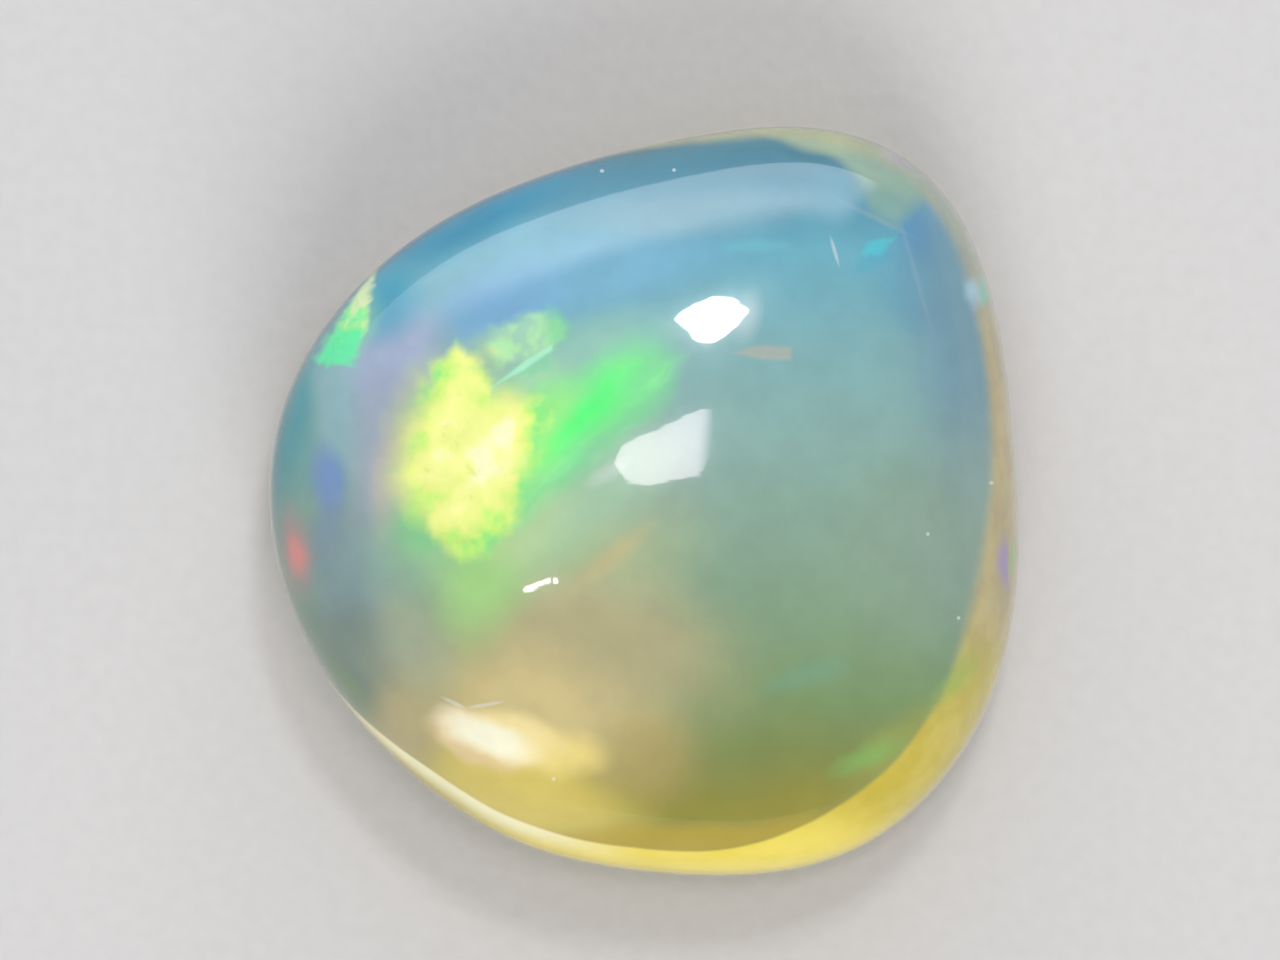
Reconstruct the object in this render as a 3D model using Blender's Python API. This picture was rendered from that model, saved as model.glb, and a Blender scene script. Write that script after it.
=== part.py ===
"""A freeform Ethiopian opal cabochon: one polished stone, domed above and flat below.

Run with: blender --background --python part.py
Metres, +Z up. The origin is at the middle of the stone's footprint, on the surface it rests on.
"""

import math

import bmesh
import bpy
import numpy as np
from mathutils import Vector

MM = 0.001

# The outline from above, a rounded triangle: directions in degrees from +X towards +Y, each with
# the distance in mm from the stone's axis to its girdle. A smooth closed curve joins the points.
OUTLINE = (
    (10, 6.64),
    (32, 7.21),
    (48, 7.65),
    (62, 7.43),
    (78, 6.70),
    (105, 6.07),
    (135, 6.23),
    (165, 6.60),
    (195, 6.54),
    (225, 6.33),
    (250, 6.41),
    (275, 6.62),
    (300, 7.18),
    (325, 7.16),
    (350, 6.74),
)

# The side view: a dome that ends at the girdle, and a rounded edge from there to the flat base.
STONE_HEIGHT = 5.4 * MM
GIRDLE_HEIGHT = 1.8 * MM
GIRDLE_DIP = 0.5 * MM  # how far the girdle drops on the full side and climbs on the other
DOME_HEIGHT = STONE_HEIGHT - GIRDLE_HEIGHT
FULL_SIDE = math.radians(-48)  # the side where the dome is fullest, the lower right from above
FULLNESS = 0.1  # how much the full side bulges beyond an ellipse and the other falls short of it
TOP_RADIUS = 6.8 * MM  # the dome is round near its top, as if the outline were a circle this large
BASE_INSET = 1.15 * MM  # how far the flat base stops short of the girdle

# The mesh is a ball of even cells, bent to the stone's shape. These are the shares of the way from
# its top to its bottom that become the dome and the rounded edge; the rest becomes the base.
CELLS_ALONG_EDGE = 26
DOME_SHARE = 0.52
EDGE_SHARE = 0.17

OPAL_COLOUR = (0.27, 0.42, 0.37)
OPAL_ROUGHNESS = 0.06
OPAL_TRANSMISSION = 0.3
OPAL_IOR = 1.45


def clear_scene():
    for obj in list(bpy.data.objects):
        bpy.data.objects.remove(obj)


class ClosedCurve:
    """A smooth closed curve round the axis: distance as a periodic cubic spline of direction."""

    def __init__(self, points):
        self.angles = np.radians([direction for direction, _ in points])
        self.distances = np.array([distance * MM for _, distance in points])
        self.steps = (np.roll(self.angles, -1) - self.angles) % (2 * math.pi)
        self.slopes = self.find_slopes()

    def find_slopes(self):
        """The slope at each point for which the bend is the same on both sides of it."""
        count = len(self.angles)
        chords = (np.roll(self.distances, -1) - self.distances) / self.steps
        system = np.zeros((count, count))
        for here in range(count):
            before = here - 1
            after = (here + 1) % count
            system[here, before] = 1 / self.steps[before]
            system[here, here] = 2 / self.steps[before] + 2 / self.steps[here]
            system[here, after] = 1 / self.steps[here]
        pulls = 3 * chords / self.steps
        return np.linalg.solve(system, pulls + np.roll(pulls, 1))

    def distance(self, angle):
        """Distance from the axis in one direction."""
        angle %= 2 * math.pi
        here = np.searchsorted(self.angles, angle, side="right") - 1
        after = (here + 1) % len(self.angles)
        step = self.steps[here]
        share = (angle - self.angles[here]) % (2 * math.pi) / step
        ease = share * share * (3 - 2 * share)
        leave = share * (1 - share) ** 2 * step * self.slopes[here]
        arrive = share * share * (1 - share) * step * self.slopes[after]
        return self.distances[here] * (1 - ease) + self.distances[after] * ease + leave - arrive


def dome_point(radius, lean, along):
    """Distance out and height on the dome, where along runs from 0 at its top to 1 at the girdle."""
    out = math.sin(along * math.pi / 2)
    up = math.cos(along * math.pi / 2)
    reach = TOP_RADIUS + (radius - TOP_RADIUS) * (1 - up**4)
    fullness = 1 + FULLNESS * lean * out**3
    return reach * out, GIRDLE_HEIGHT - GIRDLE_DIP * lean * out**3 + DOME_HEIGHT * up * fullness


def edge_point(radius, lean, along):
    """Distance out and height on the rounded edge, from 0 at the girdle to 1 at the flat base."""
    turn = along * math.pi / 2
    girdle = GIRDLE_HEIGHT - GIRDLE_DIP * lean
    return radius - BASE_INSET * (1 - math.cos(turn)), girdle * (1 - math.sin(turn))


def stone_point(outline, direction):
    """The point of the stone that stands for one direction from the middle of a ball."""
    angle = math.atan2(direction.y, direction.x)
    down = math.acos(max(-1.0, min(1.0, direction.z))) / math.pi
    radius = outline.distance(angle)
    lean = math.cos(angle - FULL_SIDE)
    if down <= DOME_SHARE:
        out, height = dome_point(radius, lean, down / DOME_SHARE)
    elif down <= DOME_SHARE + EDGE_SHARE:
        out, height = edge_point(radius, lean, (down - DOME_SHARE) / EDGE_SHARE)
    else:
        out = (radius - BASE_INSET) * (1 - down) / (1 - DOME_SHARE - EDGE_SHARE)
        height = 0
    return Vector((out * math.cos(angle), out * math.sin(angle), height))


def add_ball(mesh):
    """A ball of radius 1 made from a cube, so that no point gathers thin triangles."""
    bmesh.ops.create_cube(mesh, size=2)
    bmesh.ops.subdivide_edges(mesh, edges=mesh.edges, cuts=CELLS_ALONG_EDGE - 1, use_grid_fill=True)
    for vertex in mesh.verts:
        evened = Vector(math.tan(part * math.pi / 4) for part in vertex.co)
        vertex.co = evened.normalized()


def centre_on_footprint(mesh):
    """Moves the stone so that the middle of its footprint is the origin."""
    xs = [vertex.co.x for vertex in mesh.verts]
    ys = [vertex.co.y for vertex in mesh.verts]
    middle = Vector(((min(xs) + max(xs)) / 2, (min(ys) + max(ys)) / 2, 0))
    bmesh.ops.translate(mesh, verts=mesh.verts, vec=-middle)


def opal_material():
    material = bpy.data.materials.new("milky opal")
    material.use_nodes = True
    shader = material.node_tree.nodes["Principled BSDF"]
    shader.inputs["Base Color"].default_value = (*OPAL_COLOUR, 1)
    shader.inputs["Roughness"].default_value = OPAL_ROUGHNESS
    shader.inputs["Metallic"].default_value = 0
    shader.inputs["Transmission Weight"].default_value = OPAL_TRANSMISSION
    shader.inputs["IOR"].default_value = OPAL_IOR
    return material


def add_stone(collection):
    outline = ClosedCurve(OUTLINE)
    shape = bmesh.new()
    add_ball(shape)
    for vertex in shape.verts:
        vertex.co = stone_point(outline, vertex.co)
    centre_on_footprint(shape)
    bmesh.ops.recalc_face_normals(shape, faces=shape.faces)
    mesh = bpy.data.meshes.new("opal_cabochon")
    shape.to_mesh(mesh)
    shape.free()
    mesh.shade_smooth()
    mesh.materials.append(opal_material())
    collection.objects.link(bpy.data.objects.new("opal_cabochon", mesh))


def main():
    clear_scene()
    collection = bpy.data.collections.new("Ethiopian opal cabochon")
    bpy.context.scene.collection.children.link(collection)
    add_stone(collection)


main()
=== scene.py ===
"""The looks of the opal cabochon: its polished surface, milky body colours, amber rim and fire.

Metres, +Z up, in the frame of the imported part. The camera looks straight down, with +X to the right
and +Y to the top of the picture. Places and sizes on the stone are in millimetres, from its middle.
"""

import math

import bmesh
import bpy
import numpy as np
from mathutils import Matrix, Vector, noise


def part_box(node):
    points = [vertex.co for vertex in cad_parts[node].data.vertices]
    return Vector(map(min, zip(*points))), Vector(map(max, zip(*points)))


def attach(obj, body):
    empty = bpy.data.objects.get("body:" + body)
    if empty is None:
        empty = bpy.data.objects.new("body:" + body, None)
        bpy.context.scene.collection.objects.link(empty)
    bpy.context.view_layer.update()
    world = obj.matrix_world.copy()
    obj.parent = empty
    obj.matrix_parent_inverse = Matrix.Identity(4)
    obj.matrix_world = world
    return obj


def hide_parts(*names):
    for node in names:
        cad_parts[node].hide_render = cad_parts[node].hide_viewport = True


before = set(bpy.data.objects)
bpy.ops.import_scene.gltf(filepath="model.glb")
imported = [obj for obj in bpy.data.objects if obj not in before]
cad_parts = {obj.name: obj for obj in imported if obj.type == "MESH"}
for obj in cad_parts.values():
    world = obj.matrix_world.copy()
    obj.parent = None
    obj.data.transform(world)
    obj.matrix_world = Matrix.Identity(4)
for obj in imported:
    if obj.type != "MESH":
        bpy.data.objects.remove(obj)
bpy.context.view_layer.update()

MM = 0.001
STONE = "opal_cabochon"

# The form of the stone, as in the part. The outline from above: directions in degrees from +X
# towards +Y, each with the distance in mm from the stone's axis to its girdle.
OUTLINE = (
    (10, 6.64),
    (32, 7.21),
    (48, 7.65),
    (62, 7.43),
    (78, 6.70),
    (105, 6.07),
    (135, 6.23),
    (165, 6.60),
    (195, 6.54),
    (225, 6.33),
    (250, 6.41),
    (275, 6.62),
    (300, 7.18),
    (325, 7.16),
    (350, 6.74),
)

# The side view, in mm: a dome that ends at the girdle, and a rounded edge from there to the flat base.
STONE_HEIGHT = 5.4
GIRDLE_HEIGHT = 1.8
GIRDLE_RADIUS = 6.7  # about, on average
GIRDLE_DIP = 0.5  # how far the girdle drops on the full side and climbs on the other
DOME_HEIGHT = STONE_HEIGHT - GIRDLE_HEIGHT
FULL_SIDE = math.radians(-48)  # the side where the dome is fullest, the lower right from above
FULLNESS = 0.1  # how much the full side bulges beyond an ellipse and the other falls short of it
TOP_RADIUS = 6.8  # the dome is round near its top, as if the outline were a circle this large
BASE_INSET = 1.15  # how far the flat base stops short of the girdle

# The mesh is a ball of even cells, bent to the stone's shape. These are the shares of the way from
# its top to its bottom that become the dome and the rounded edge; the rest becomes the base.
CELLS_ALONG_EDGE = 112
DOME_SHARE = 0.52
EDGE_SHARE = 0.17

# Hand polishing leaves the surface very slightly wavy, in mm.
WAVE_HEIGHT = 0.016
WAVE_LENGTH = 3.2
NARROW_WAVES = 2.3  # how many of the narrow waves fit in a wide one
NARROW_SHARE = 0.3  # how high they are beside it
TOP_CALM = 0.8  # the share of the waves that is missing where the surface faces up
WAVE_START = 0.6  # the waves grow over this height above the base

# The camera, in metres, with its sensor in mm.
CAMERA_DISTANCE = 0.3
VIEW_WIDTH = 22.67 * MM
STONE_IN_VIEW = Vector((0.08, -0.38, 0)) * MM  # from the middle of the picture to the stone's middle
SENSOR_WIDTH = 36
NEAREST_SEEN = 0.01
FARTHEST_SEEN = 20

# The light tent: one of brightness 1 all round would show a white sheet as white. Its wall is brighter
# low down, between two directions from +X towards +Y, and fades out upwards and at both ends.
TENT_COLOUR = (0.97, 0.98, 1, 1)
TENT_BRIGHTNESS = 0.46
WALL_BRIGHTNESS = 3.2
WALL_RIGHT = math.radians(53)
WALL_LEFT = math.radians(160)
WALL_RIGHT_BLUR = 0.16
WALL_LEFT_BLUR = 0.85
WALL_FULL_UP_TO = math.radians(25)
WALL_GONE_FROM = math.radians(36)

LIGHT_DISTANCE = 0.4  # from the stone to every lamp, in metres

# The wide soft lamp at the lower side of the picture.
FILL_DIRECTION = math.radians(-82)
FILL_RISE = math.radians(33)
FILL_SIZE = 0.3
FILL_BRIGHTNESS = 5.1

# The windows of the other lamps, as their mirror images lie on the dome, in mm and anticlockwise.
# The side lamp has two, with a thin bar between them.
KEY_WINDOW = (
    (0.55, 3.25),
    (0.90, 2.92),
    (1.06, 2.82),
    (1.22, 2.82),
    (1.62, 3.08),
    (1.88, 3.40),
    (1.60, 3.65),
    (1.24, 3.67),
    (0.80, 3.46),
)
CAMERA_WINDOW = (
    (-0.54, 0.72),
    (-0.30, 0.37),
    (0.15, 0.31),
    (1.00, 0.50),
    (1.26, 0.95),
    (1.22, 1.66),
    (1.04, 1.70),
    (-0.38, 1.05),
)
SIDE_WINDOW = ((-2.18, -1.55), (-2.15, -1.59), (-1.68, -1.45), (-1.68, -1.33), (-1.74, -1.33))
SIDE_WINDOW_END = ((-1.63, -1.46), (-1.55, -1.45), (-1.53, -1.40), (-1.57, -1.34), (-1.63, -1.33))

# Each lamp's name, window, brightness and colour, and the blur of its edges and of its right side.
LAMPS = (
    ("key lamp", KEY_WINDOW, 34, (1, 1, 1), 0.02, 0.01),
    ("camera lamp", CAMERA_WINDOW, 12, (1, 0.82, 0.92), 0.015, 0.2),
    ("side lamp", SIDE_WINDOW, 26, (1, 1, 1), 0.02, 0.01),
    ("side lamp end", SIDE_WINDOW_END, 26, (1, 1, 1), 0.02, 0.01),
)

# The floor: metres from its middle to its sides, how far it lies below the flat base, its two shades,
# and the size and height of its grain in mm.
FLOOR_REACH = 4
FLOOR_DROP = 0.02 * MM
FLOOR_SHADES = ((0.52, 0.52, 0.51, 1), (0.56, 0.56, 0.55, 1))
FLOOR_GRAIN = 0.3
FLOOR_GRAIN_HEIGHT = 0.01

# How paint looks in this light: LIT times as bright as its own value, under a thin veil of light that
# the polish mirrors. No paint is darker or paler than the last two.
LIT = 1.17
VEIL = 0.028
DARKEST_PAINT = 0.004
PALEST_PAINT = 0.97

# The colour of the body from the lower to the upper side of the picture, each at its place in mm.
BODY_SHADES = (
    (-5.3, (150, 147, 74)),
    (-4.4, (132, 145, 90)),
    (-3.5, (129, 155, 110)),
    (-2.2, (135, 164, 132)),
    (-0.4, (140, 170, 152)),
    (0.9, (142, 177, 168)),
    (2.7, (134, 178, 180)),
    (4.4, (114, 175, 192)),
    (5.3, (98, 156, 178)),
    (6.1, (80, 130, 148)),
)

# Broad soft washes over it: colour, place, half sizes, turn in degrees and strength. They reach
# deep enough to colour the stone's side as well as its dome.
WASH_SOFTNESS = 0.6
WASH_DEPTH = 9
BODY_WASHES = (
    ((130, 182, 208), (-1.0, 4.0), (2.4, 0.6), 12, 0.8),
    ((156, 184, 190), (1.0, 5.1), (1.8, 0.35), 4, 0.35),
    ((128, 176, 212), (-2.7, 3.4), (1.1, 0.6), 24, 0.8),
    ((58, 142, 174), (-3.2, 5.2), (2.8, 0.6), 27, 0.9),
    ((84, 160, 170), (-6.3, 1.9), (0.55, 2.2), -10, 0.9),
    ((168, 178, 208), (-4.45, 2.4), (0.7, 0.95), -25, 0.85),
    ((60, 158, 188), (-4.6, 3.45), (0.7, 0.5), 50, 0.75),
    ((152, 190, 196), (-5.4, 1.5), (0.4, 0.9), 4, 0.8),
    ((166, 176, 192), (-4.7, 0.6), (0.5, 1.4), -4, 0.8),
    ((120, 150, 208), (-5.64, 0.40), (0.28, 0.5), 0, 0.75),
    ((134, 158, 196), (-5.6, -0.4), (0.26, 0.6), -6, 0.5),
    ((138, 162, 168), (-5.0, -1.3), (1.0, 1.3), 10, 0.8),
    ((126, 142, 134), (-5.0, -2.8), (0.8, 1.1), 38, 0.8),
    ((130, 160, 112), (-5.25, -3.2), (0.16, 0.4), 36, 0.4),
    ((154, 165, 147), (-4.2, -2.6), (0.7, 0.9), 30, 0.7),
    ((176, 190, 148), (-1.2, -1.1), (1.9, 1.0), 12, 0.8),
    ((184, 176, 136), (-1.0, -2.6), (2.3, 1.3), -8, 0.9),
    ((212, 196, 142), (-2.05, -3.65), (2.0, 1.0), -14, 0.9),
    ((222, 204, 112), (-2.3, -5.15), (2.0, 0.85), -16, 0.9),
    ((182, 164, 108), (0.0, -4.5), (0.9, 0.8), 0, 0.6),
    ((186, 174, 132), (-4.1, -3.9), (0.7, 0.8), -40, 0.85),
    ((94, 148, 194), (4.9, 4.6), (0.4, 0.45), 10, 0.7),
    ((108, 160, 188), (4.6, 3.7), (0.6, 0.7), 10, 0.5),
    ((122, 157, 174), (5.6, 2.9), (0.9, 2.2), 4, 0.8),
    ((140, 164, 160), (5.6, -0.4), (0.9, 1.8), 0, 0.6),
    ((146, 170, 151), (4.6, -1.0), (1.2, 1.3), 0, 0.5),
    ((124, 172, 148), (2.8, -3.1), (0.7, 0.2), 20, 0.35),
    ((160, 168, 96), (4.7, -4.2), (1.3, 0.4), 38, 0.7),
    ((186, 164, 62), (0.6, -6.0), (2.4, 0.24), 6, 0.8),
    ((152, 176, 158), (3.75, 6.1), (1.3, 0.25), -30, 0.8),
    ((164, 182, 150), (2.75, 6.36), (1.0, 0.16), -8, 0.8),
    ((88, 150, 172), (3.1, 5.72), (0.8, 0.14), -22, 0.4),
    ((172, 184, 154), (-4.0, -2.4), (0.5, 1.0), 26, 0.5),
)

# How the edges of masks wander: the size of the noise's lumps and how far they push, in mm.
DRIFT = (2.4, 0.7)
WAVY = (0.9, 0.4)
RAGGED = (0.36, 0.3)

# From here on a patch has its place, half sizes, turn in degrees, strength and softness, mostly with
# its colour in front. A facet has its colour, corners, softness and strength. A fade has the values
# where it starts and where it is full, and then its greatest strength where that isn't 1.
PATCH_DEPTH = 1.6  # the half size of most patches in height

# Painted light: the lamp's light that the dome gathers near the lower left, laid on as cream patches.
PAINTED_GLOW = (
    ((242, 224, 140), (-1.52, -4.40), (0.74, 0.36), -8, 0.85, 0.55),
    ((234, 210, 162), (-2.92, -4.20), (0.86, 0.42), -22, 0.9, 0.3),
    ((248, 232, 168), (-2.42, -4.12), (0.9, 0.42), -12, 0.9, 0.45),
    ((255, 253, 224), (-2.80, -4.13), (0.8, 0.26), -21, 1.0, 0.55),
)

# Painted shade: a dark band near the girdle at the upper left. Its fades run downwards and
# upwards, in mm over the girdle, and towards the top and the left of the picture.
LIMB_SHADE_SHARES = (0.5, 0.5, 0.5)
LIMB_DOWNWARDS = (0.95, 0.1)
LIMB_UPWARDS = (-1.0, 0.0)
LIMB_TO_TOP = (-4.5, -1.0)
LIMB_TO_LEFT = (2.8, 0.4)

# The upper edge of the amber rim, in mm above the base: it climbs in one direction, as seen from
# above, and is lifted once more at the lower right of the picture.
RIM_TOWARDS = (0.91, -0.41)
RIM_START = 0.75
RIM_CLIMB = (-8.0, -1.0, 2.12)
RIM_LIFT = (3.2, 5.8, 0.42)
RIM_LIFT_DOWNWARDS = (1.4, -2.0)
RIM_WAVER = 0.12
RIM_WAVER_LENGTH = 1.6

# The blur of that edge in mm. It grows towards the top of the picture, where the rim also clears.
RIM_BLUR = 0.05
RIM_EXTRA_BLUR = (-4.6, -1.0, 0.16)
RIM_CLEARING = (2.2, 4.6, 0.3)

# The rim's own colour, and the colours that take over between two heights in the picture.
RIM_COLOUR = (184, 172, 132)
RIM_SHADES = (
    ((198, 184, 90), -1.6, -3.4),
    ((206, 188, 70), -3.4, -5.0),
    ((244, 224, 84), -5.2, -6.2),
    ((172, 172, 150), 2.6, 4.4),
)
RIM_CREAM = (255, 251, 206)
RIM_CREAM_PATCH = ((-3.4, -5.1), (2.7, 1.5), -38, 1.0, 0.6)
RIM_CREAM_UPWARDS = (0.7, 0.06)
RIM_TOP_COLOUR = (170, 174, 136)
RIM_TOP_UPWARDS = (5.4, 6.2)
RIM_TOP_TO_LEFT = (4.6, 3.8)
RIM_VIOLET = ((190, 176, 196), (4.45, 6.10), (0.3, 0.14), -35, 0.6, 0.6)
RIM_DEPTH = 3  # the half size of its patches in height
RIM_CLOUD_COLOUR = (234, 224, 150)
RIM_CLOUDS = (0.36, 0.66, 0.14)

# The rim is darker low down, below a height in mm over the girdle that grows towards the bottom.
RIM_DARK_SHARES = (0.74, 0.68, 0.42)
RIM_DARK_BELOW = 0.55
RIM_DARK_GROWTH = (-2.6, -4.6, 0.35)
RIM_DARK_STRENGTH = 0.85

# The coloured light that the fire spreads in the milky body round it.
FIRE_HALO = (
    ((202, 190, 172), (-4.35, 0.75), (0.3, 1.1), -12, 0.75, 0.7),
    ((182, 200, 164), (-3.9, 1.9), (0.4, 0.8), -30, 0.6, 0.8),
    ((164, 212, 158), (-2.9, -0.6), (1.6, 0.9), 10, 0.8, 0.8),
    ((132, 214, 146), (-3.85, -0.35), (0.5, 0.45), 0, 0.75, 0.9),
    ((166, 216, 136), (-2.85, -1.35), (0.6, 0.9), -8, 0.85, 0.8),
    ((190, 216, 160), (-1.9, -0.4), (0.9, 0.4), 38, 0.8, 0.8),
    ((168, 204, 172), (-0.7, 0.3), (1.3, 0.6), 40, 0.7, 0.8),
    ((156, 204, 184), (-1.0, 2.6), (1.0, 0.45), 20, 0.8, 0.8),
    ((172, 222, 174), (-2.05, 2.15), (0.6, 0.3), 10, 0.75, 0.8),
)

# The green arm that reaches from the heart of the fire towards the key lamp's mirror image.
ARM = (
    (-2.90, -0.80),
    (-1.45, 0.22),
    (-0.40, 1.15),
    (0.42, 1.95),
    (0.56, 2.50),
    (0.20, 2.66),
    (-0.40, 2.60),
    (-1.70, 2.00),
    (-2.40, 0.40),
)
ARM_SOFTNESS = 0.28
ARM_STRENGTH = 0.9
ARM_FIBRES = (44, 2.6, 0.7)  # their turn in degrees, and how far they are drawn along and across
ARM_SHADES = (
    (0.30, (136, 214, 160)),
    (0.50, (132, 226, 152)),
    (0.70, (146, 236, 160)),
)
ARM_GREENS = (
    ((132, 240, 150), (-0.95, 1.72), (1.3, 0.42), 44, 0.75, 0.8),
    ((178, 250, 150), (-1.90, 1.05), (0.95, 0.42), 60, 0.9, 0.8),
    ((98, 250, 130), (-1.08, 1.48), (0.9, 0.22), 46, 0.9, 0.95),
)

# The small flake above the arm, with a patch that lies under it and one on its tip.
UPPER_FLAKE = (
    (-2.76, 2.62),
    (-2.50, 2.40),
    (-1.72, 2.64),
    (-1.44, 2.92),
    (-1.52, 3.20),
    (-2.05, 3.28),
    (-2.62, 3.06),
)
UPPER_SOFTNESS = 0.15
UPPER_STRENGTH = 0.9
UPPER_SHADES = (
    (0.34, (168, 216, 184)),
    (0.46, (184, 234, 178)),
    (0.56, (186, 242, 178)),
    (0.68, (212, 240, 172)),
)
UPPER_HALO = ((176, 212, 164), (-2.75, 2.55), (0.35, 0.4), -40, 0.7, 0.7)
UPPER_TIP = ((136, 222, 160), (-1.56, 3.06), (0.2, 0.26), 10, 0.75, 0.8)

# The yellow heart of the fire, as straight-sided flakes that run into one another.
HEART = (
    (-4.36, 0.44),
    (-4.16, -0.22),
    (-3.40, -0.40),
    (-2.48, 0.04),
    (-1.90, 0.86),
    (-1.52, 1.64),
    (-2.50, 1.96),
    (-3.84, 2.04),
    (-4.16, 1.35),
)
HEART_FLAKES = (
    ((-3.84, 1.20), (-2.50, 1.20), (-2.64, 1.96), (-2.96, 2.54), (-3.28, 2.74), (-3.70, 2.34)),
    ((-4.00, 0.40), (-3.80, -0.52), (-3.25, -1.04), (-2.78, -0.92), (-2.24, -0.32), (-2.10, 0.60)),
)
HEART_SOFTNESS = 0.36
HEART_FLAKE_SOFTNESS = 0.16
HEART_MIDDLE = ((-3.26, 0.84), (1.0, 1.8), -14, 0.6, 0.95)
HEART_CORE = ((-2.58, 0.86), (0.40, 0.68), -26, 0.48, 0.9)
HEART_GRAIN = (1.1, -0.54)  # the noise's share in the colour, and a shift
HEART_SHADES = (
    (0.06, (146, 238, 138)),
    (0.22, (204, 248, 132)),
    (0.46, (238, 250, 148)),
    (0.74, (249, 253, 160)),
    (0.98, (252, 254, 206)),
)
HEART_VEIN_COLOUR = (212, 226, 122)
HEART_VEINS = (0.56, 0.72, 0.4)

# The pale spear above the heart, the greener flake at its side, and the streak below the mirror image
# of the key lamp.
SPEAR_SIDE = ((138, 214, 170), ((-2.25, 2.28), (-1.95, 2.20), (-1.67, 2.34), (-1.60, 2.68)), 0.07, 0.6)
SPEAR = (
    (176, 240, 204),
    ((-2.66, 2.02), (-2.14, 2.29), (-1.62, 2.66), (-1.62, 2.75), (-2.08, 2.48)),
    0.035,
    0.85,
)
KEY_STREAK = (
    (184, 180, 164),
    ((1.56, 2.60), (2.05, 2.50), (2.56, 2.48), (2.58, 2.70), (1.96, 2.74)),
    0.05,
    0.6,
)

# The green flake near the left end of the dome, and the patch that lies under it.
LEFT_FLAKE = (
    (-5.84, 2.54),
    (-5.70, 2.44),
    (-5.16, 2.43),
    (-4.96, 2.72),
    (-4.90, 3.15),
    (-4.76, 3.60),
    (-4.76, 4.10),
)
LEFT_SOFTNESS = 0.09
LEFT_STRENGTH = 0.95
LEFT_RISE = (0.62, -1.5)  # how its colour changes towards the top of the picture, and a shift
LEFT_MOTTLE = (1.2, -0.6)
LEFT_SHADES = (
    (0.10, (106, 240, 172)),
    (0.34, (108, 248, 168)),
    (0.52, (160, 246, 158)),
    (0.80, (226, 244, 186)),
)
LEFT_HALO = ((146, 208, 176), (-5.0, 3.0), (0.2, 0.5), -20, 0.7, 0.9)

# Painted reflection: the beige end of the pale crescent that the tent's wall mirrors, and the small
# cyan flake below it.
CRESCENT_END_COLOUR = (150, 180, 158)
CRESCENT_END = ((3.60, 6.00), (3.98, 5.16), (4.46, 4.86), (4.90, 5.40), (4.80, 5.66))
CRESCENT_END_SOFTNESS = 0.2
CRESCENT_END_STRENGTH = 0.65
CYAN_FLAKE = (
    (92, 204, 216),
    ((3.76, 4.36), (3.88, 4.28), (4.16, 4.30), (4.40, 4.66), (4.08, 4.63)),
    0.07,
    0.7,
)

# The left flake and the painted crescent end stop near the girdle: this fade runs upwards, in mm over
# it.
FLAKES_END = (-0.5, 0.1)

# Glints of many colours: red at the left end, cyan above, green and violet at the right, and a painted
# highlight of pale blue on the right edge.
GLINTS = (
    ((176, 150, 150), (-6.15, -0.85), (0.24, 0.65), 8, 0.85, 0.8),
    ((232, 150, 142), (-6.1, -0.96), (0.12, 0.28), 8, 0.85, 0.95),
    ((84, 172, 200), (3.98, 4.2), (0.3, 0.12), 20, 0.4, 0.8),
    ((120, 198, 206), (1.9, 4.5), (0.5, 0.1), 4, 0.4, 0.9),
    ((150, 186, 100), (5.5, -3.1), (0.5, 0.16), 58, 0.6, 0.9),
    ((160, 146, 200), (6.33, -1.1), (0.09, 0.36), 0, 0.75, 0.7),
    ((132, 200, 110), (6.5, -0.98), (0.05, 0.28), 0, 0.6, 0.8),
    # Painted highlight: the pale blue spot on the right edge.
    ((168, 206, 226), (5.84, 3.72), (0.16, 0.2), 0, 0.8, 0.8),
    ((128, 206, 176), (6.02, 3.72), (0.07, 0.2), 0, 0.7, 0.8),
)
RAGGED_GLINT = ((136, 182, 104), (3.9, -4.5), (0.55, 0.17), 24, 0.7, 0.8)

# Streaks and painted highlights with clean edges: painted highlights beside the mirror images of two
# lamps, and streaks below the arm and at the corner.
STREAKS_AND_PAINTED_HIGHLIGHTS = (
    # Painted highlight: the pale halo at the right of the key lamp's mirror image.
    ((188, 212, 214), (1.80, 3.22), (0.18, 0.36), -12, 0.6, 0.9),
    ((193, 187, 143), (-0.60, -1.0), (0.72, 0.17), 40, 0.85, 0.8),
    ((172, 188, 200), (4.77, 4.0), (0.04, 0.85), 16, 0.2, 0.9),
    ((176, 188, 190), (4.06, 4.99), (0.55, 0.04), -26, 0.25, 0.9),
    # Painted highlight: the pale tail of the camera lamp's mirror image.
    ((206, 224, 210), (-0.66, 0.50), (0.32, 0.13), 33, 0.5, 0.8),
)

# The honey colour of the foot, and the clouded honey and milk of the flat base. Their fades run
# downwards, in mm above the base.
FOOT_HONEY = (206, 184, 120)
FOOT_DOWNWARDS = (0.75, 0.25)
BASE_HONEY = (204, 186, 132)
BASE_MILK = (172, 186, 158)
BASE_CLOUDS = (0.3, 0.7, 0.6)
BASE_DOWNWARDS = (0.06, 0.01, 0.9)

# Fine clouds in the stone. They add the first of each pair to a brightness or roughness of the second.
HAZE_BRIGHTNESS = (0.08, 0.96)
HAZE_ROUGHNESS = (0.14, 0.1)
HAZE_CLOUDS = (0.3, 0.7)  # the fade that makes them clearer where they brighten

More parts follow.
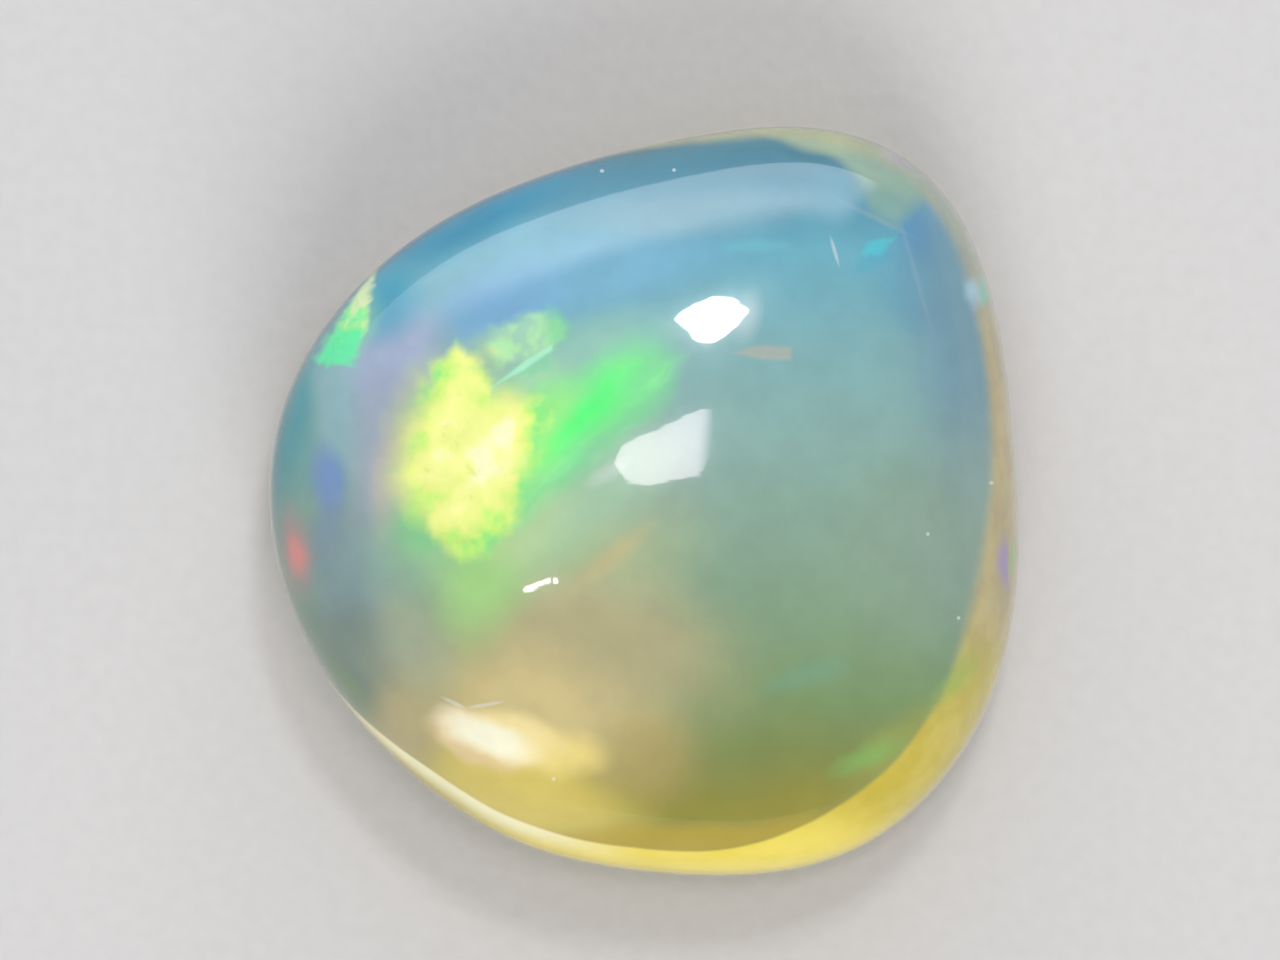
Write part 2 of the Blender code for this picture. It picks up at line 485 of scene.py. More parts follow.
# Bright specks of dust, each with its half length, and tiny scratches, each with its turn as well.
FLECK_COLOUR = (226, 234, 232)
FLECK_HALF_WIDTH = 0.03
FLECK_SOFTNESS = 0.5
FLECK_DEPTH = 0.4
DUST_STRENGTH = 0.6
SCRATCH_STRENGTH = 0.42
DUST = (
    ((-0.75, 5.83), 0.035),
    ((0.52, 5.84), 0.03),
    ((6.12, 0.33), 0.04),
    ((4.98, -0.57), 0.03),
    ((5.53, -2.05), 0.03),
    ((-1.60, -4.88), 0.03),
)
SCRATCHES = (
    ((3.34, 4.40), 0.24, 106),
    ((-3.36, -3.53), 0.2, -24),
    ((-2.80, -3.57), 0.3, 10),
)

# The faint unevenness of the polish: its height and its size, drawn out from left to right.
POLISH_MARK_HEIGHT = 0.0006
POLISH_MARK_SIZE = 0.3
POLISH_MARK_CROWDING = (0.5, 2.0, 1.0)


class ClosedCurve:
    """A smooth closed curve round the axis: distance as a periodic cubic spline of direction."""

    def __init__(self, points):
        self.angles = np.radians([direction for direction, _ in points])
        self.distances = np.array([distance for _, distance in points])
        self.steps = (np.roll(self.angles, -1) - self.angles) % (2 * math.pi)
        self.slopes = self.find_slopes()

    def find_slopes(self):
        """The slope at each point for which the bend is the same on both sides of it."""
        count = len(self.angles)
        chords = (np.roll(self.distances, -1) - self.distances) / self.steps
        system = np.zeros((count, count))
        for here in range(count):
            before = here - 1
            after = (here + 1) % count
            system[here, before] = 1 / self.steps[before]
            system[here, here] = 2 / self.steps[before] + 2 / self.steps[here]
            system[here, after] = 1 / self.steps[here]
        pulls = 3 * chords / self.steps
        return np.linalg.solve(system, pulls + np.roll(pulls, 1))

    def distance(self, angle):
        """Distance from the axis in each of the directions."""
        angle = angle % (2 * math.pi)
        here = np.searchsorted(self.angles, angle, side="right") - 1
        after = (here + 1) % len(self.angles)
        step = self.steps[here]
        share = (angle - self.angles[here]) % (2 * math.pi) / step
        ease = share * share * (3 - 2 * share)
        leave = share * (1 - share) ** 2 * step * self.slopes[here]
        arrive = share * share * (1 - share) * step * self.slopes[after]
        return self.distances[here] * (1 - ease) + self.distances[after] * ease + leave - arrive


OUTLINE_CURVE = ClosedCurve(OUTLINE)


def dome_profile(radius, lean, along):
    """Distance out and height on the dome, where along runs from 0 at its top to 1 at the girdle."""
    out = np.sin(along * math.pi / 2)
    up = np.cos(along * math.pi / 2)
    reach = TOP_RADIUS + (radius - TOP_RADIUS) * (1 - up**4)
    fullness = 1 + FULLNESS * lean * out**3
    return reach * out, GIRDLE_HEIGHT - GIRDLE_DIP * lean * out**3 + DOME_HEIGHT * up * fullness


def edge_profile(radius, lean, along):
    """Distance out and height on the rounded edge, from 0 at the girdle to 1 at the flat base."""
    turn = along * math.pi / 2
    girdle = GIRDLE_HEIGHT - GIRDLE_DIP * lean
    return radius - BASE_INSET * (1 - np.cos(turn)), girdle * (1 - np.sin(turn))


def stone_points(directions):
    """The points of the stone, in mm, that stand for directions from the middle of a ball."""
    angle = np.arctan2(directions[:, 1], directions[:, 0])
    down = np.arccos(np.clip(directions[:, 2], -1, 1)) / math.pi
    radius = OUTLINE_CURVE.distance(angle)
    lean = np.cos(angle - FULL_SIDE)
    dome_out, dome_up = dome_profile(radius, lean, np.clip(down / DOME_SHARE, 0, 1))
    edge_out, edge_up = edge_profile(radius, lean, np.clip((down - DOME_SHARE) / EDGE_SHARE, 0, 1))
    base_out = (radius - BASE_INSET) * (1 - down) / (1 - DOME_SHARE - EDGE_SHARE)
    zones = [down <= DOME_SHARE, down <= DOME_SHARE + EDGE_SHARE]
    out = np.select(zones, [dome_out, edge_out], base_out)
    height = np.select(zones, [dome_up, edge_up], 0)
    return np.column_stack((out * np.cos(angle), out * np.sin(angle), height))


def on_dome(x, y):
    """The point of the dome above a place on the plan, in mm, found closer in each of 8 rounds."""
    angle = math.atan2(y, x)
    radius = float(OUTLINE_CURVE.distance(angle))
    reach = radius
    for _ in range(8):
        share = min(math.hypot(x, y) / reach, 1)
        reach = TOP_RADIUS + (radius - TOP_RADIUS) * (1 - (1 - share**2) ** 2)
    along = math.asin(share) * 2 / math.pi
    _, height = dome_profile(radius, math.cos(angle - FULL_SIDE), along)
    return Vector((x, y, float(height)))


def dome_normal(x, y):
    """The direction that the dome faces at a place on the plan."""
    step = 0.01
    across = on_dome(x + step, y) - on_dome(x - step, y)
    along = on_dome(x, y + step) - on_dome(x, y - step)
    return across.cross(along).normalized()


def add_ball(mesh):
    """A ball of radius 1 made from a cube, so that no point gathers thin triangles."""
    bmesh.ops.create_cube(mesh, size=2)
    bmesh.ops.subdivide_edges(mesh, edges=mesh.edges, cuts=CELLS_ALONG_EDGE - 1, use_grid_fill=True)
    for vertex in mesh.verts:
        evened = Vector(math.tan(part * math.pi / 4) for part in vertex.co)
        vertex.co = evened.normalized()


def read_vectors(mesh, name):
    """A vertex attribute with three parts, such as co or normal, as rows of numbers."""
    values = np.empty(len(mesh.vertices) * 3, dtype=np.float32)
    mesh.vertices.foreach_get(name, values)
    return values.reshape(-1, 3).astype(float)


def write_points(mesh, points):
    mesh.vertices.foreach_set("co", points.astype(np.float32).ravel())
    mesh.update()


def add_polish_waves(mesh):
    """Moves the dome and the edge in and out by up to about 0.01 mm; the base stays flat."""
    points = read_vectors(mesh, "co")
    normals = read_vectors(mesh, "normal")
    wide = np.array([noise.noise(Vector(point) / WAVE_LENGTH) for point in points])
    narrow = np.array([noise.noise(Vector(point) * NARROW_WAVES / WAVE_LENGTH) for point in points])
    calm = 1 - TOP_CALM * np.abs(normals[:, 2])
    growth = np.minimum(points[:, 2] / WAVE_START, 1)
    rise = WAVE_HEIGHT * (wide + NARROW_SHARE * narrow) * calm * growth
    write_points(mesh, points + normals * rise[:, None])


def make_stone():
    """The fine mesh of the stone, exactly as large as the part's own solid."""
    shape = bmesh.new()
    add_ball(shape)
    mesh = bpy.data.meshes.new("polished_opal")
    shape.to_mesh(mesh)
    shape.free()
    write_points(mesh, stone_points(read_vectors(mesh, "co")))
    add_polish_waves(mesh)
    points = read_vectors(mesh, "co")
    lowest = points.min(axis=0)
    highest = points.max(axis=0)
    low, high = (np.array(corner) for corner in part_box(STONE))
    write_points(mesh, low + (points - lowest) * (high - low) / (highest - lowest))
    mesh.shade_smooth()
    mesh.materials.append(opal_material())
    stone = bpy.data.objects.new("polished_opal", mesh)
    bpy.context.scene.collection.objects.link(stone)
    return stone


def linear(part):
    """One part of an sRGB colour, 0 to 255, as light."""
    part /= 255
    return part / 12.92 if part <= 0.04045 else ((part + 0.055) / 1.055) ** 2.4


def seen_as(colour):
    """The paint that looks like this sRGB colour under the studio's light."""
    shares = [(linear(part) - VEIL) / LIT for part in colour]
    return (*(min(max(share, DARKEST_PAINT), PALEST_PAINT) for share in shares), 1)


class Nodes:
    """Makes and links the nodes of one tree."""

    def __init__(self, tree):
        self.tree = tree

    def node(self, kind, **settings):
        node = self.tree.nodes.new(kind)
        for name, value in settings.items():
            setattr(node, name, value)
        return node

    def feed(self, socket, value):
        """Links another node's output to a socket, or sets the socket's own value."""
        if isinstance(value, bpy.types.NodeSocket):
            self.tree.links.new(value, socket)
        else:
            socket.default_value = value

    def math(self, operation, *values):
        node = self.node("ShaderNodeMath", operation=operation)
        for socket, value in zip(node.inputs, values):
            self.feed(socket, value)
        return node.outputs[0]

    def vector(self, operation, *values, scale=None):
        node = self.node("ShaderNodeVectorMath", operation=operation)
        for socket, value in zip(node.inputs, values):
            self.feed(socket, value)
        if scale is not None:
            self.feed(node.inputs["Scale"], scale)
        return node.outputs["Value" if operation == "DOT_PRODUCT" else "Vector"]

    def part(self, vector, axis):
        node = self.node("ShaderNodeSeparateXYZ")
        self.feed(node.inputs[0], vector)
        return node.outputs[axis]

    def ramp(self, value, low, high, top=1.0):
        """Rises smoothly from 0 where value is low to top where it is high."""
        node = self.node("ShaderNodeMapRange", interpolation_type="SMOOTHSTEP")
        node.inputs["To Max"].default_value = top
        self.feed(node.inputs["Value"], value)
        self.feed(node.inputs["From Min"], low)
        self.feed(node.inputs["From Max"], high)
        return node.outputs["Result"]

    def plan(self, place):
        """The place seen from above. Its third part is 1, so one dot product gives a distance."""
        return self.vector("MULTIPLY_ADD", place, (1, 1, 0), (0, 0, 1))

    def facet(self, corners, soft, plan, strength=1.0):
        """A patch with straight sides, seen from above: its corners anticlockwise."""
        inside = None
        for here, corner in enumerate(corners):
            side = Vector(corner) - Vector(corners[here - 1])
            inward = Vector((-side.y, side.x)).normalized()
            depth = self.vector("DOT_PRODUCT", plan, (*inward, -inward.dot(Vector(corner))))
            inside = depth if inside is None else self.math("MINIMUM", inside, depth)
        return self.ramp(inside, -soft, soft, strength)


class Paint(Nodes):
    """A material's nodes, in which colours are laid over one another, each through its own mask."""

    def __init__(self, tree):
        super().__init__(tree)
        coordinates = self.node("ShaderNodeTexCoord")
        self.place = self.vector("SCALE", coordinates.outputs["Object"], scale=1 / MM)
        parts = self.node("ShaderNodeSeparateXYZ")
        self.feed(parts.inputs[0], self.place)
        self.x = parts.outputs["X"]
        self.y = parts.outputs["Y"]
        self.height = parts.outputs["Z"]
        self.colour = None

    def noise(self, size, detail=2, roughness=0.5, place=None, output="Fac"):
        """Soft noise whose lumps are about this size in mm."""
        node = self.node("ShaderNodeTexNoise")
        self.feed(node.inputs["Vector"], place or self.place)
        node.inputs["Scale"].default_value = 1 / size
        node.inputs["Detail"].default_value = detail
        node.inputs["Roughness"].default_value = roughness
        return node.outputs[output]

    def stirred(self, size, amount, detail=1):
        """The place, pushed about by noise, so that the edges of a mask wander."""
        push = self.vector("SUBTRACT", self.noise(size, detail, output="Color"), (0.5, 0.5, 0.5))
        return self.vector("ADD", self.place, self.vector("SCALE", push, scale=amount))

    def combed(self, place, turn, length, width):
        """The place, drawn out so that noise makes streaks in one direction."""
        node = self.node("ShaderNodeMapping", vector_type="TEXTURE")
        self.feed(node.inputs["Vector"], place)
        node.inputs["Rotation"].default_value = (0, 0, math.radians(turn))
        node.inputs["Scale"].default_value = (length, width, width)
        return node.outputs["Vector"]

    def patch(self, at, size, turn, strength, soft, place=None, deep=PATCH_DEPTH):
        """A rounded patch on the dome: its strength inside and 0 outside, with a soft edge."""
        reach = 1 + soft
        node = self.node("ShaderNodeMapping", vector_type="TEXTURE")
        self.feed(node.inputs["Vector"], place or self.place)
        node.inputs["Location"].default_value = on_dome(*at)
        node.inputs["Rotation"].default_value = (0, 0, math.radians(turn))
        node.inputs["Scale"].default_value = (size[0] * reach, size[1] * reach, deep * reach)
        ball = self.node("ShaderNodeTexGradient", gradient_type="SPHERICAL")
        self.feed(ball.inputs["Vector"], node.outputs["Vector"])
        return self.ramp(ball.outputs["Fac"], 0, 2 * soft / reach, strength)

    def shades(self, value, stops):
        """A run of colours, each at its own value from 0 to 1."""
        node = self.node("ShaderNodeValToRGB")
        self.feed(node.inputs["Fac"], value)
        points = node.color_ramp.elements
        for point, (position, colour) in zip(points, (stops[0], stops[-1])):
            point.position = position
            point.color = seen_as(colour)
        for position, colour in stops[1:-1]:
            points.new(position).color = seen_as(colour)
        return node.outputs["Color"]

    def mix(self, share, below, above, blend="MIX"):
        node = self.node("ShaderNodeMix", data_type="RGBA", blend_type=blend)
        self.feed(node.inputs["Factor"], share)
        self.feed(node.inputs["A"], below)
        self.feed(node.inputs["B"], above)
        return node.outputs["Result"]

    def lay(self, colour, mask):
        """Lays one colour over what is painted so far."""
        above = colour if isinstance(colour, bpy.types.NodeSocket) else seen_as(colour)
        self.colour = self.mix(mask, self.colour, above)

    def lay_patches(self, patches, place, deep=PATCH_DEPTH):
        """Lays the rows of a table of patches, from the first to the last."""
        for colour, *patch in patches:
            self.lay(colour, self.patch(*patch, place, deep))

    def lay_facet(self, facet, plan):
        colour, corners, soft, strength = facet
        self.lay(colour, self.facet(corners, soft, plan, strength))

    def darken(self, shares, mask):
        """Keeps only these shares of the red, green and blue that are painted so far."""
        self.colour = self.mix(mask, self.colour, (*shares, 1), "MULTIPLY")


class StonePaint(Paint):
    """The stone's nodes, with the values that several of its layers share."""

    def __init__(self, tree):
        super().__init__(tree)
        fall = GIRDLE_DIP / GIRDLE_RADIUS
        dip_across = self.math("MULTIPLY", self.x, fall * math.cos(FULL_SIDE))
        dip = self.math("MULTIPLY_ADD", self.y, fall * math.sin(FULL_SIDE), dip_across)
        self.over_girdle = self.math("SUBTRACT", self.math("ADD", self.height, dip), GIRDLE_HEIGHT)
        self.drift = self.stirred(*DRIFT)
        self.wavy = self.stirred(*WAVY, detail=2)
        self.ragged = self.stirred(*RAGGED, detail=2)
        self.straight_plan = self.plan(self.place)
        self.wavy_plan = self.plan(self.wavy)
        self.ragged_plan = self.plan(self.ragged)
        self.clouds = self.noise(0.9, 3, 0.6)


def paint_body(paint):
    """The milky body: blue above, grey green in the middle, olive below and warm at the lower left."""
    lowest = BODY_SHADES[0][0]
    span = BODY_SHADES[-1][0] - lowest
    level = paint.math("MULTIPLY_ADD", paint.part(paint.drift, "Y"), 1 / span, -lowest / span)
    stops = [((place - lowest) / span, colour) for place, colour in BODY_SHADES]
    paint.colour = paint.shades(level, stops)
    for colour, at, size, turn, strength in BODY_WASHES:
        wash = paint.patch(at, size, turn, strength, WASH_SOFTNESS, paint.drift, WASH_DEPTH)
        paint.lay(colour, wash)


def paint_glow(paint):
    """Painted light: light gathered by the dome comes out again near the lower left."""
    paint.lay_patches(PAINTED_GLOW, paint.wavy)


def paint_limb_shade(paint):
    """Painted shade: the stone looks darker where its side turns away from the light above it."""
    from_above = paint.ramp(paint.over_girdle, *LIMB_DOWNWARDS)
    from_below = paint.ramp(paint.over_girdle, *LIMB_UPWARDS)
    turned = paint.math("MULTIPLY", from_above, from_below)
    upper = paint.ramp(paint.y, *LIMB_TO_TOP)
    upper_left = paint.math("MULTIPLY", upper, paint.ramp(paint.x, *LIMB_TO_LEFT))
    paint.darken(LIMB_SHADE_SHARES, paint.math("MULTIPLY", turned, upper_left))


def rim_edge(paint):
    """How far a place is below the upper edge of the amber rim, in mm, and negative above it."""
    across = paint.math("MULTIPLY", paint.x, RIM_TOWARDS[0])
    forward = paint.math("MULTIPLY_ADD", paint.y, RIM_TOWARDS[1], across)
    climb = paint.math("ADD", paint.ramp(forward, *RIM_CLIMB), RIM_START)
    low_in_view = paint.ramp(paint.y, *RIM_LIFT_DOWNWARDS)
    lift = paint.math("MULTIPLY", paint.ramp(forward, *RIM_LIFT), low_in_view)
    waver = paint.math("MULTIPLY_ADD", paint.noise(RIM_WAVER_LENGTH, 1), RIM_WAVER, -RIM_WAVER / 2)
    edge = paint.math("ADD", paint.math("ADD", climb, lift), waver)
    return paint.math("SUBTRACT", edge, paint.height)


def paint_rim_colours(paint, below):
    """The rim from beige at the top of the picture to yellow at the bottom, and darker at its foot."""
    paint.colour = seen_as(RIM_COLOUR)
    for colour, start, end in RIM_SHADES:
        paint.lay(colour, paint.ramp(paint.y, start, end))
    cream = paint.patch(*RIM_CREAM_PATCH, deep=RIM_DEPTH)
    paint.lay(RIM_CREAM, paint.math("MULTIPLY", cream, paint.ramp(below, *RIM_CREAM_UPWARDS)))
    top = paint.ramp(paint.y, *RIM_TOP_UPWARDS)
    paint.lay(RIM_TOP_COLOUR, paint.math("MULTIPLY", top, paint.ramp(paint.x, *RIM_TOP_TO_LEFT)))
    paint.lay_patches((RIM_VIOLET,), paint.place, RIM_DEPTH)
    paint.lay(RIM_CLOUD_COLOUR, paint.ramp(paint.clouds, *RIM_CLOUDS))
    band = paint.math("ADD", paint.ramp(paint.y, *RIM_DARK_GROWTH), RIM_DARK_BELOW)
    paint.darken(RIM_DARK_SHARES, paint.ramp(paint.over_girdle, band, 0.0, RIM_DARK_STRENGTH))


def paint_rim(paint):
    """The amber rim: painted light comes out yellow below a line round the right and the bottom."""
    below = rim_edge(paint)
    body = paint.colour
    # The rim's colours are the stone's honey tone, brightened as painted light.
    paint_rim_colours(paint, below)
    soft = paint.math("ADD", paint.ramp(paint.y, *RIM_EXTRA_BLUR), RIM_BLUR)
    inside = paint.ramp(below, paint.math("MULTIPLY", soft, -1.0), soft)
    opaque = paint.math("SUBTRACT", 1.0, paint.ramp(paint.y, *RIM_CLEARING))
    paint.colour = paint.mix(paint.math("MULTIPLY", inside, opaque), body, paint.colour)


def paint_arm(paint):
    """The green arm, streaked along its length."""
    fibres = paint.noise(0.4, 3, place=paint.combed(paint.wavy, *ARM_FIBRES))
    arm = paint.facet(ARM, ARM_SOFTNESS, paint.wavy_plan, ARM_STRENGTH)
    paint.lay(paint.shades(fibres, ARM_SHADES), arm)
    paint.lay_patches(ARM_GREENS, paint.wavy)


def paint_upper_flake(paint):
    paint.lay_patches((UPPER_HALO,), paint.ragged)
    flake = paint.facet(UPPER_FLAKE, UPPER_SOFTNESS, paint.ragged_plan, UPPER_STRENGTH)
    paint.lay(paint.shades(paint.noise(0.5), UPPER_SHADES), flake)
    paint.lay_patches((UPPER_TIP,), paint.ragged)


def paint_heart(paint):
    """The mottled yellow heart of the fire: paler at its core, greener outwards, with olive veins."""
    heart = paint.facet(HEART, HEART_SOFTNESS, paint.wavy_plan)
    for corners in HEART_FLAKES:
        flake = paint.facet(corners, HEART_FLAKE_SOFTNESS, paint.ragged_plan)
        heart = paint.math("MAXIMUM", heart, flake)
    middle = paint.patch(*HEART_MIDDLE, paint.ragged)
    core = paint.patch(*HEART_CORE)
    grain = paint.math("MULTIPLY_ADD", paint.noise(0.5), *HEART_GRAIN)
    warmth = paint.math("ADD", paint.math("ADD", middle, core), grain)
    paint.lay(paint.shades(warmth, HEART_SHADES), heart)
    veins = paint.ramp(paint.noise(0.4, 3, 0.6, place=paint.ragged), *HEART_VEINS)
    paint.lay(HEART_VEIN_COLOUR, paint.math("MULTIPLY", veins, heart))


def paint_left_flake(paint, on_dome_only):
    """The left flake, green at its lower end and pale yellow higher up, with a mottle."""
    paint.lay_patches((LEFT_HALO,), paint.wavy)
    rise = paint.math("MULTIPLY_ADD", paint.y, *LEFT_RISE)
    mottle = paint.math("MULTIPLY_ADD", paint.noise(0.3, 3, 0.6), *LEFT_MOTTLE)
    flake = paint.facet(LEFT_FLAKE, LEFT_SOFTNESS, paint.ragged_plan, LEFT_STRENGTH)
    colours = paint.shades(paint.math("ADD", rise, mottle), LEFT_SHADES)
    paint.lay(colours, paint.math("MULTIPLY", flake, on_dome_only))


def paint_crescent_end(paint, on_dome_only):
    # Painted reflection: the beige end of the pale crescent.
    flake = paint.facet(CRESCENT_END, CRESCENT_END_SOFTNESS, paint.ragged_plan, CRESCENT_END_STRENGTH)
    paint.lay(CRESCENT_END_COLOUR, paint.math("MULTIPLY", flake, on_dome_only))


def paint_fire(paint):
    """The play of colour: patches of spectral yellow, green, cyan and red in the milky body."""
    on_dome_only = paint.ramp(paint.over_girdle, *FLAKES_END)
    paint.lay_patches(FIRE_HALO, paint.wavy)
    paint_arm(paint)
    paint_upper_flake(paint)
    paint_heart(paint)
    paint.lay_facet(SPEAR_SIDE, paint.ragged_plan)
    paint.lay_facet(SPEAR, paint.straight_plan)
    paint_left_flake(paint, on_dome_only)
    paint_crescent_end(paint, on_dome_only)
    paint.lay_facet(CYAN_FLAKE, paint.ragged_plan)
    paint.lay_facet(KEY_STREAK, paint.straight_plan)
    paint.lay_patches(GLINTS, paint.wavy)
    paint.lay_patches((RAGGED_GLINT,), paint.ragged)
    paint.lay_patches(STREAKS_AND_PAINTED_HIGHLIGHTS, paint.place)


def paint_base(paint):
    """Low on its edge the stone is plain honey, and its flat base is clouded with milk."""
    paint.lay(FOOT_HONEY, paint.ramp(paint.height, *FOOT_DOWNWARDS))
    clouds = paint.ramp(paint.noise(2.4, 2, 0.55), *BASE_CLOUDS)
    milky = paint.mix(clouds, seen_as(BASE_HONEY), seen_as(BASE_MILK))
    paint.lay(milky, paint.ramp(paint.height, *BASE_DOWNWARDS))


def paint_haze(paint):
    """Fine cloudiness everywhere."""
    clouds = paint.ramp(paint.clouds, *HAZE_CLOUDS)
    node = paint.node("ShaderNodeHueSaturation")
    paint.feed(node.inputs["Color"], paint.colour)
    paint.feed(node.inputs["Value"], paint.math("MULTIPLY_ADD", clouds, *HAZE_BRIGHTNESS))
    paint.colour = node.outputs["Color"]


def paint_flecks(paint):
    """Bright specks of dust and tiny scratches that catch the light."""
    specks = [(at, length, 0, DUST_STRENGTH) for at, length in DUST]
    specks += [(at, length, turn, SCRATCH_STRENGTH) for at, length, turn in SCRATCHES]
    for at, length, turn, strength in specks:
        size = (length, FLECK_HALF_WIDTH)
        fleck = paint.patch(at, size, turn, strength, FLECK_SOFTNESS, deep=FLECK_DEPTH)
        paint.lay(FLECK_COLOUR, fleck)


def polish_marks(paint):
    """The height of the faint unevenness in the polish, from 0 to 1."""
    crowded = paint.vector("MULTIPLY", paint.place, POLISH_MARK_CROWDING)
    return paint.noise(POLISH_MARK_SIZE, place=crowded)


def opal_material():
    material = bpy.data.materials.new("milky opal")
    material.use_nodes = True
    shader = material.node_tree.nodes["Principled BSDF"]
    paint = StonePaint(material.node_tree)
    paint_body(paint)
    paint_glow(paint)
    paint_limb_shade(paint)
    paint_rim(paint)
    paint_fire(paint)
    paint_base(paint)
    paint_haze(paint)
    paint_flecks(paint)
    paint.feed(shader.inputs["Base Color"], paint.colour)
    bump = paint.node("ShaderNodeBump", invert=True)
    bump.inputs["Distance"].default_value = POLISH_MARK_HEIGHT * MM
    paint.feed(bump.inputs["Height"], polish_marks(paint))
    paint.feed(shader.inputs["Normal"], bump.outputs["Normal"])
    paint.feed(shader.inputs["Coat Normal"], bump.outputs["Normal"])
    paint.feed(shader.inputs["Roughness"], paint.math("MULTIPLY_ADD", paint.clouds, *HAZE_ROUGHNESS))
    shader.inputs["IOR"].default_value = 1.45
    shader.inputs["Specular IOR Level"].default_value = 0.2
    shader.inputs["Subsurface Weight"].default_value = 0.15
    shader.inputs["Subsurface Radius"].default_value = (1, 0.9, 0.7)
    shader.inputs["Subsurface Scale"].default_value = 2.2 * MM
    shader.inputs["Coat Weight"].default_value = 1
    shader.inputs["Coat Roughness"].default_value = 0.015
    shader.inputs["Coat IOR"].default_value = 1.42
    return material


def floor_material():
    material = bpy.data.materials.new("pale board")
    material.use_nodes = True
    shader = material.node_tree.nodes["Principled BSDF"]
    paint = Paint(material.node_tree)
    grain = paint.noise(FLOOR_GRAIN, 1)
    paint.feed(shader.inputs["Base Color"], paint.mix(grain, *FLOOR_SHADES))
    bump = paint.node("ShaderNodeBump")
    bump.inputs["Distance"].default_value = FLOOR_GRAIN_HEIGHT * MM
    paint.feed(bump.inputs["Height"], grain)
    paint.feed(shader.inputs["Normal"], bump.outputs["Normal"])
    shader.inputs["Roughness"].default_value = 0.8
    shader.inputs["Specular IOR Level"].default_value = 0.2
    return material


def add_floor():
    shape = bmesh.new()
    bmesh.ops.create_grid(shape, x_segments=8, y_segments=8, size=FLOOR_REACH)
    bmesh.ops.translate(shape, verts=shape.verts, vec=(0, 0, -FLOOR_DROP))
    mesh = bpy.data.meshes.new("floor")
    shape.to_mesh(mesh)
    shape.free()
    mesh.materials.append(floor_material())
    floor = bpy.data.objects.new("floor", mesh)
    bpy.context.scene.collection.objects.link(floor)


def add_tent():
    """A pale light tent, brighter low down on the upper left side."""
    world = bpy.data.worlds.new("light tent")
    bpy.context.scene.world = world
    world.use_nodes = True
    tent = Nodes(world.node_tree)
    direction = tent.node("ShaderNodeTexCoord").outputs["Generated"]
    rise = tent.part(direction, "Z")
    wall = tent.ramp(rise, math.sin(WALL_GONE_FROM), math.sin(WALL_FULL_UP_TO))
    past_right_end = WALL_RIGHT + math.pi / 2
    past_left_end = WALL_LEFT - math.pi / 2
    for inward, blur in ((past_right_end, WALL_RIGHT_BLUR), (past_left_end, WALL_LEFT_BLUR)):
        depth = tent.vector("DOT_PRODUCT", direction, (math.cos(inward), math.sin(inward), 0))
        wall = tent.math("MULTIPLY", wall, tent.ramp(depth, 0, blur))
    strength = tent.math("MULTIPLY_ADD", wall, WALL_BRIGHTNESS, TENT_BRIGHTNESS)
    background = world.node_tree.nodes["Background"]
    tent.feed(background.inputs["Color"], TENT_COLOUR)
    tent.feed(background.inputs["Strength"], strength)


def mirrored(x, y):
    """Where a lamp is, in metres, whose mirror image the camera sees at this place on the dome."""
    normal = dome_normal(x, y)
    towards_camera = Vector((0, 0, 1))
    towards_lamp = 2 * normal.dot(towards_camera) * normal - towards_camera
    return on_dome(x, y) * MM + towards_lamp * LIGHT_DISTANCE


def lamp_power(brightness, area):
    """The power that makes a lamp look this bright, whatever its area in square metres."""
    return brightness * math.pi * area


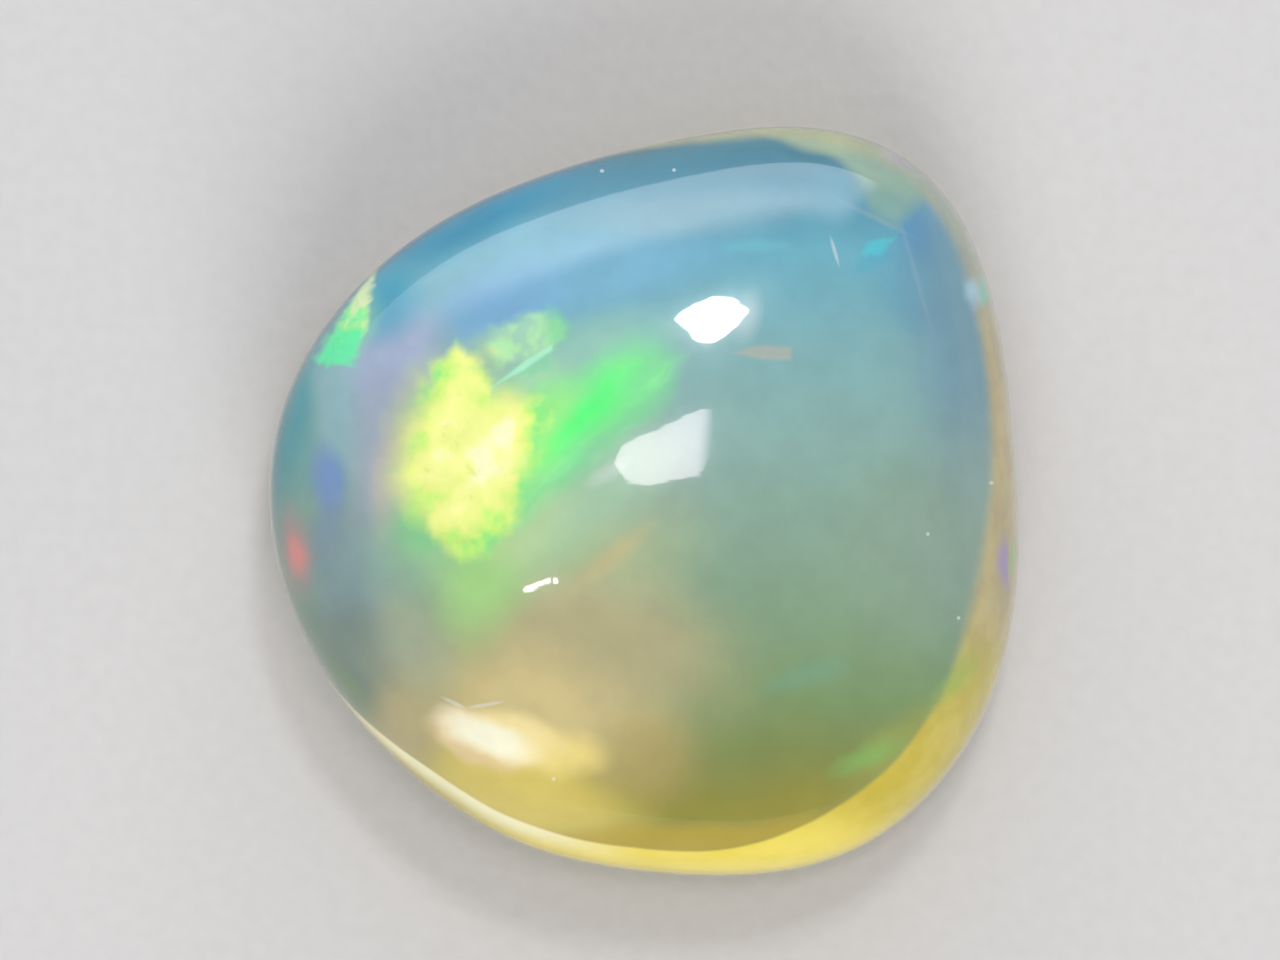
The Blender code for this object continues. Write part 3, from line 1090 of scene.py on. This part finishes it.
def add_lamp(name, outline, brightness, colour, soft, fade):
    """A lamp with a shaped window: the outline in mm, anticlockwise, of its mirror image on the dome.

    Soft is the blur of its edges, and fade that of its right side, as shares of its size.
    """
    spots = [mirrored(*corner) for corner in outline]
    middle = sum(spots, Vector()) / len(spots)
    away = middle.normalized()
    right = (Vector((1, 0, 0)) - away * away.x).normalized()
    up = away.cross(right)
    across = [(spot - middle).dot(right) for spot in spots]
    along = [(spot - middle).dot(up) for spot in spots]
    width = max(across) - min(across)
    height = max(along) - min(along)
    place = middle + right * (max(across) + min(across)) / 2 + up * (max(along) + min(along)) / 2
    lamp = bpy.data.lights.new(name, "AREA")
    lamp.shape = "RECTANGLE"
    lamp.size = width
    lamp.size_y = height
    lamp.energy = lamp_power(brightness, width * height)
    lamp.color = colour
    lamp.use_nodes = True
    window = Nodes(lamp.node_tree)
    on_lamp = window.node("ShaderNodeNewGeometry").outputs["Parametric"]
    corners = [((x - min(across)) / width, (y - min(along)) / height) for x, y in zip(across, along)]
    right_side = window.ramp(window.part(on_lamp, "X"), 1, 1 - fade)
    opening = window.math("MULTIPLY", window.facet(corners, soft, window.plan(on_lamp)), right_side)
    window.feed(lamp.node_tree.nodes["Emission"].inputs["Strength"], opening)
    holder = bpy.data.objects.new(name, lamp)
    holder.matrix_world = Matrix.Translation(place) @ Matrix((right, up, away)).transposed().to_4x4()
    holder.visible_camera = False
    bpy.context.scene.collection.objects.link(holder)


def add_fill():
    """The wide soft lamp, whose mirror image isn't seen."""
    lamp = bpy.data.lights.new("fill lamp", "AREA")
    lamp.shape = "DISK"
    lamp.size = FILL_SIZE
    lamp.energy = lamp_power(FILL_BRIGHTNESS, math.pi * (FILL_SIZE / 2) ** 2)
    holder = bpy.data.objects.new("fill lamp", lamp)
    outwards = math.cos(FILL_RISE)
    away = Vector((
        math.cos(FILL_DIRECTION) * outwards,
        math.sin(FILL_DIRECTION) * outwards,
        math.sin(FILL_RISE),
    ))
    facing = away.to_track_quat("Z", "Y").to_matrix().to_4x4()
    holder.matrix_world = Matrix.Translation(away * LIGHT_DISTANCE) @ facing
    holder.visible_camera = False
    holder.visible_glossy = False
    bpy.context.scene.collection.objects.link(holder)


def add_camera():
    camera = bpy.data.cameras.new("camera")
    camera.sensor_width = SENSOR_WIDTH
    camera.lens = SENSOR_WIDTH * CAMERA_DISTANCE / VIEW_WIDTH
    camera.clip_start = NEAREST_SEEN
    camera.clip_end = FARTHEST_SEEN
    holder = bpy.data.objects.new("camera", camera)
    holder.location = Vector((0, 0, GIRDLE_HEIGHT * MM + CAMERA_DISTANCE)) - STONE_IN_VIEW
    bpy.context.scene.collection.objects.link(holder)
    bpy.context.scene.camera = holder


def main():
    stone = make_stone()
    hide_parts(STONE)
    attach(stone, "root")
    add_floor()
    add_tent()
    add_fill()
    for lamp in LAMPS:
        add_lamp(*lamp)
    add_camera()
    bpy.context.scene.view_settings.view_transform = "Standard"


main()
